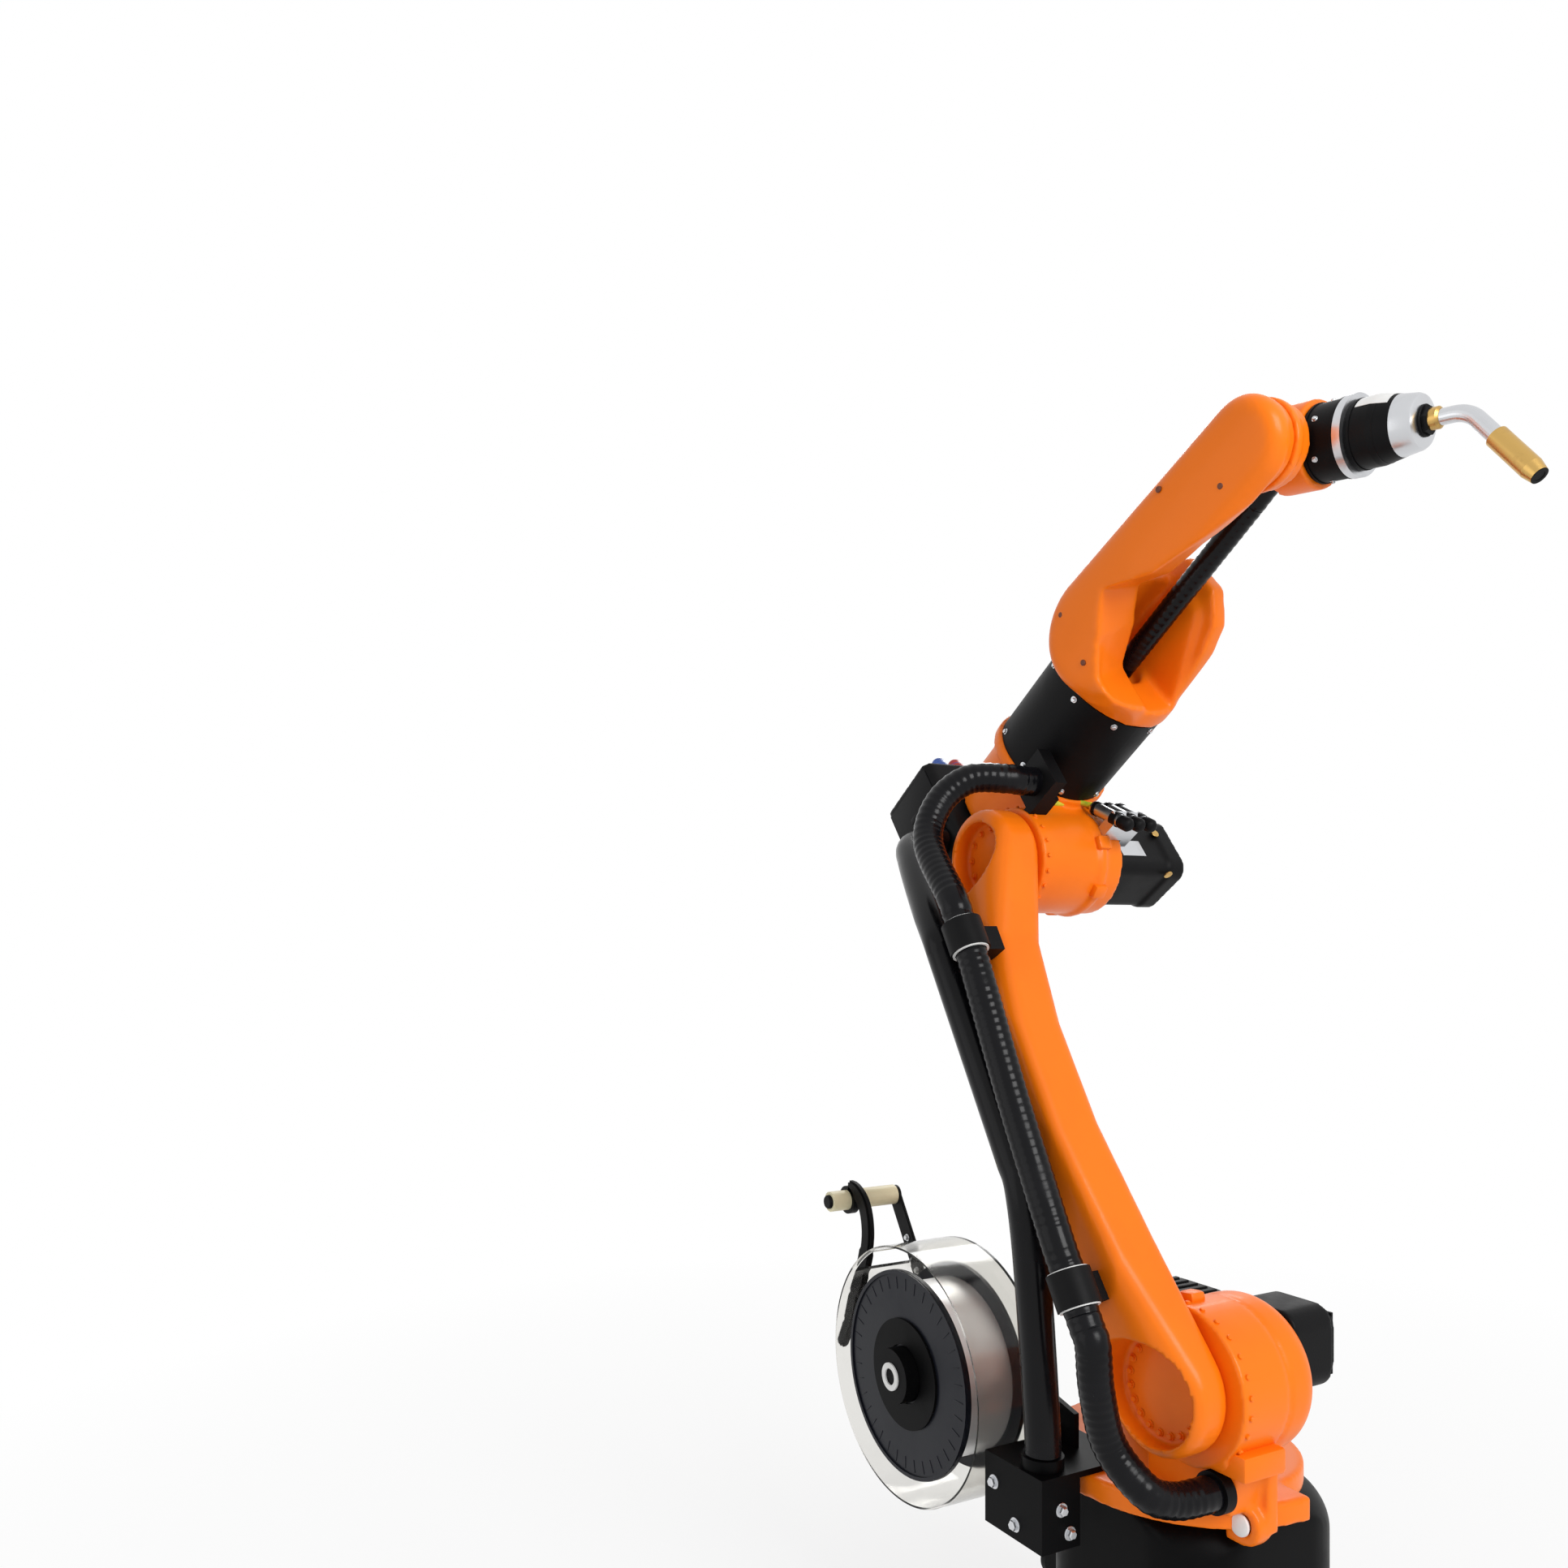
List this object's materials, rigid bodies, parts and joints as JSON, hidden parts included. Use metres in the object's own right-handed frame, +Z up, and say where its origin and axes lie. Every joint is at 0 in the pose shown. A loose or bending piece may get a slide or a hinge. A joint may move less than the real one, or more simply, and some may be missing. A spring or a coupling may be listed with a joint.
{
  "type": "six-axis welding robot arm",
  "caption": "Jointed industrial robot arm with hollow wrist, welding torch, wire feeder, wire spool and clamped hoses, bolted down by its base flange.",
  "frame": {"origin": "centre of the base flange's underside, on the slewing axis", "axes": "+X the way the arm reaches, +Y the side of the shoulder and elbow motors, +Z up along the slewing axis"},
  "size_m": [1.0561, 0.513, 1.7529],
  "materials": {
    "orange_paint": "semi-gloss",
    "black_paint": "satin",
    "black_plastic": "satin moulded",
    "hose_rubber": "smooth, slightly glossy",
    "bright_steel": "turned and brushed",
    "wire_metal": "wound bright wire",
    "nozzle_brass": "worn",
    "clear_plastic": "clear, slightly hazy",
    "roller_nylon": "smooth",
    "coupling_colours": "anodised caps"
  },
  "bodies": {
    "base": {"base_frame": "black_paint", "base_rear_box": "black_paint"},
    "column": {"column": "orange_paint", "slew_motor": "black_plastic", "shoulder_motor": "black_plastic", "hose_gland": "black_plastic", "spool_bracket": "black_paint", "spool_carrier": "black_paint", "spool_cover": "clear_plastic", "wire_guide": "black_paint", "guide_roller": "roller_nylon", "hose_lower": "hose_rubber", "feeder_hose_lower": "hose_rubber"},
    "spool": {"spool": "black_plastic", "wire_winding": "wire_metal"},
    "link_arm": {"link_arm": "orange_paint", "lower_hose_clamp": "black_plastic", "upper_hose_clamp": "black_plastic", "hose_mid": "hose_rubber", "feeder_hose_mid": "hose_rubber", "hose_upper": "hose_rubber", "feeder_hose_upper": "hose_rubber"},
    "arm": {"arm_housing": "orange_paint", "arm_cover": "black_plastic", "elbow_motor": "black_plastic", "hose_bracket": "black_plastic", "motor_connectors": "bright_steel", "feeder_shelf": "black_paint", "feeder_box": "black_plastic", "feeder_motor": "black_plastic", "feeder_valves": "coupling_colours"},
    "forearm": {"forearm": "orange_paint", "torch_cable": "hose_rubber", "torch_cable_bend": "hose_rubber"},
    "wrist": {"wrist_ring": "orange_paint"},
    "torch": {"torch_mount": "black_plastic", "torch_clamp_ring": "bright_steel", "torch_sleeve": "black_plastic", "torch_cone": "bright_steel", "torch_neck": "bright_steel", "nozzle": "nozzle_brass"}
  },
  "joints": [
    {"name": "slewing", "type": "hinge", "parent": "base", "child": "column", "pos_m": [0, 0, 0.35], "axis": [0, 0, 1], "range_deg": [-170, 170]},
    {"name": "shoulder", "type": "hinge", "parent": "column", "child": "link_arm", "pos_m": [0.13, 0, 0.528], "axis": [0, 1, 0], "range_deg": [-35, 155], "deforming": ["hose_lower", "feeder_hose_lower"]},
    {"name": "elbow", "type": "hinge", "parent": "link_arm", "child": "arm", "pos_m": [-0.256, 0, 1.19657], "axis": [0, -1, 0], "range_deg": [-70, 214], "deforming": ["hose_upper", "feeder_hose_upper"]},
    {"name": "forearm_turn", "type": "hinge", "parent": "arm", "child": "forearm", "pos_m": [-0.34417, 0, 1.31792], "axis": [0.809, 0, 0.5878], "range_deg": [-176, 154]},
    {"name": "wrist_tilt", "type": "hinge", "parent": "forearm", "child": "wrist", "pos_m": [0.17846, 0, 1.69763], "axis": [-0.1122, 0.9816, 0.1544], "range_deg": [-172, 88], "deforming": ["torch_cable_bend"]},
    {"name": "torch_turn", "type": "hinge", "parent": "wrist", "child": "torch", "pos_m": [0.17846, 0, 1.69763], "axis": [0.9873, 0.1277, -0.0946], "range_deg": [-350, 350]},
    {"name": "spool_turn", "type": "hinge", "parent": "column", "child": "spool", "pos_m": [-0.288, -0.2, 0.435], "axis": [0, 1, 0], "continuous": true}
  ]
}
